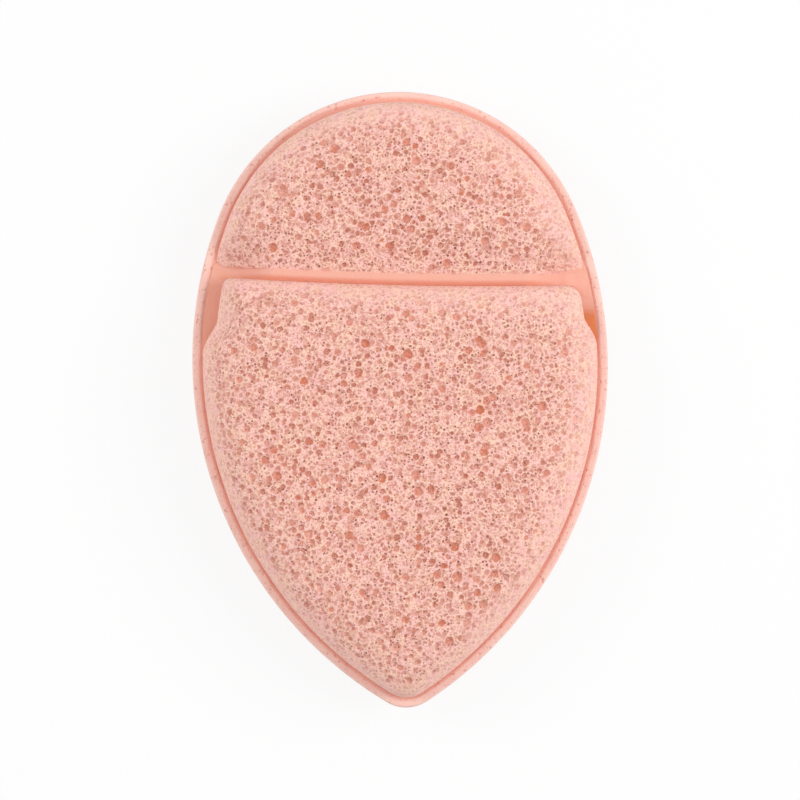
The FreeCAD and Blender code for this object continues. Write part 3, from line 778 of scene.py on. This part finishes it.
strip_points = np.stack([strip_x, strip_y, strip_z], axis=-1)
index = np.arange(strip_x.size).reshape(strip_x.shape)
over = np.roll(index, -1, axis=1)
quads = np.stack([index[:-1].ravel(), index[1:].ravel(), over[1:].ravel(), over[:-1].ravel()], axis=1)
caps = np.stack([index[0], index[-1][::-1]])

# Painted shade: orange deepens in the crevice under the lip's edge and in the gaps beside the lip, over
# the hem's own warm tone.
gap_shade = np.where(nominal > 0, RIGHT_GAP_SHADE * (1 - right_tab), LEFT_GAP_SHADE) * below_slit
line = np.where(nominal > 0, middle, ease(36.5, 34.0, -nominal))
crevice = ease(0.8, 0.0, above) * ease(-1.2, -0.6, above) * line
shaded = HEM_TINT + CREVICE_SHADE * crevice + gap_shade
strip_tone_and_shade = np.concatenate([shaded, np.ones_like(shaded)], axis=1)
strip = surface("slit_strip", strip_points.reshape(-1, 3), [quads, caps],
                {"tone_and_painted_shade": strip_tone_and_shade.ravel()})
strip.data.materials.append(PRESSED)
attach(strip, "sponge")
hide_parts("mouth_weld")


# Floor, light and camera.
# The sponge lies on a white table between two soft lamps, a stronger one on the right and a weaker one
# on the left; the camera looks straight down, turned so that the sponge leans a degree to the left.
TABLE_HALF, TABLE_Z = 1.0, -0.0001
WORLD_LIGHT, LAMP_WIDE = 0.61, 0.4
LAMPS = (
    ("right_softbox", (0.49, 0.05, 0.46), 1.96),
    ("left_softbox", (-0.46, 0.17, 0.46), 1.20),
)
LENS, SENSOR, VIEW_WIDE, VIEW_LEVEL, VIEW_TURN = 135, 36, 0.1560, 0.0095, -1.132

corners = [(x * TABLE_HALF, y * TABLE_HALF, TABLE_Z) for x, y in ((-1, -1), (1, -1), (1, 1), (-1, 1))]
floor_mesh = bpy.data.meshes.new("table")
floor_mesh.from_pydata(corners, [], [(0, 1, 2, 3)])
floor = bpy.data.objects.new("table", floor_mesh)
bpy.context.scene.collection.objects.link(floor)
white = bpy.data.materials.new("white_table")
white.use_nodes = True
tree = white.node_tree
shader = tree.nodes["Principled BSDF"]
shader.inputs["Base Color"].default_value = (0.9, 0.9, 0.9, 1)
shader.inputs["Roughness"].default_value = 0.9
path = node(tree, "ShaderNodeLightPath")
seen = sum_of(tree, path.outputs["Is Camera Ray"], path.outputs["Is Glossy Ray"], "MAXIMUM")
seen = sum_of(tree, seen, path.outputs["Is Transmission Ray"], "MAXIMUM")
glow = node(tree, "ShaderNodeEmission", {"Color": (1, 1, 1, 1), "Strength": 1.0})
part = node(tree, "ShaderNodeMixShader", {0: product_of(tree, seen, 0.85),
                                          1: shader.outputs[0], 2: glow.outputs[0]})
tree.links.new(part.outputs[0], tree.nodes["Material Output"].inputs["Surface"])
floor_mesh.materials.append(white)

world = bpy.data.worlds.new("studio")
world.use_nodes = True
world.node_tree.nodes["Background"].inputs["Color"].default_value = (1, 1, 1, 1)
world.node_tree.nodes["Background"].inputs["Strength"].default_value = WORLD_LIGHT
bpy.context.scene.world = world

for name, place, power in LAMPS:
    lamp_data = bpy.data.lights.new(name, "AREA")
    lamp_data.shape = "DISK"
    lamp_data.size = LAMP_WIDE
    lamp_data.energy = power
    lamp = bpy.data.objects.new(name, lamp_data)
    lamp.location = place
    lamp.rotation_euler = lamp.location.to_track_quat("Z", "Y").to_euler()
    bpy.context.scene.collection.objects.link(lamp)

camera_data = bpy.data.cameras.new("camera")
camera_data.lens = LENS
camera_data.sensor_width = SENSOR
camera = bpy.data.objects.new("camera", camera_data)
camera.location = (-0.00016, -0.00004, VIEW_LEVEL + VIEW_WIDE * LENS / SENSOR)
camera.rotation_euler = (0, 0, math.radians(VIEW_TURN))
bpy.context.scene.collection.objects.link(camera)
bpy.context.scene.camera = camera
bpy.context.scene.view_settings.view_transform = "Standard"
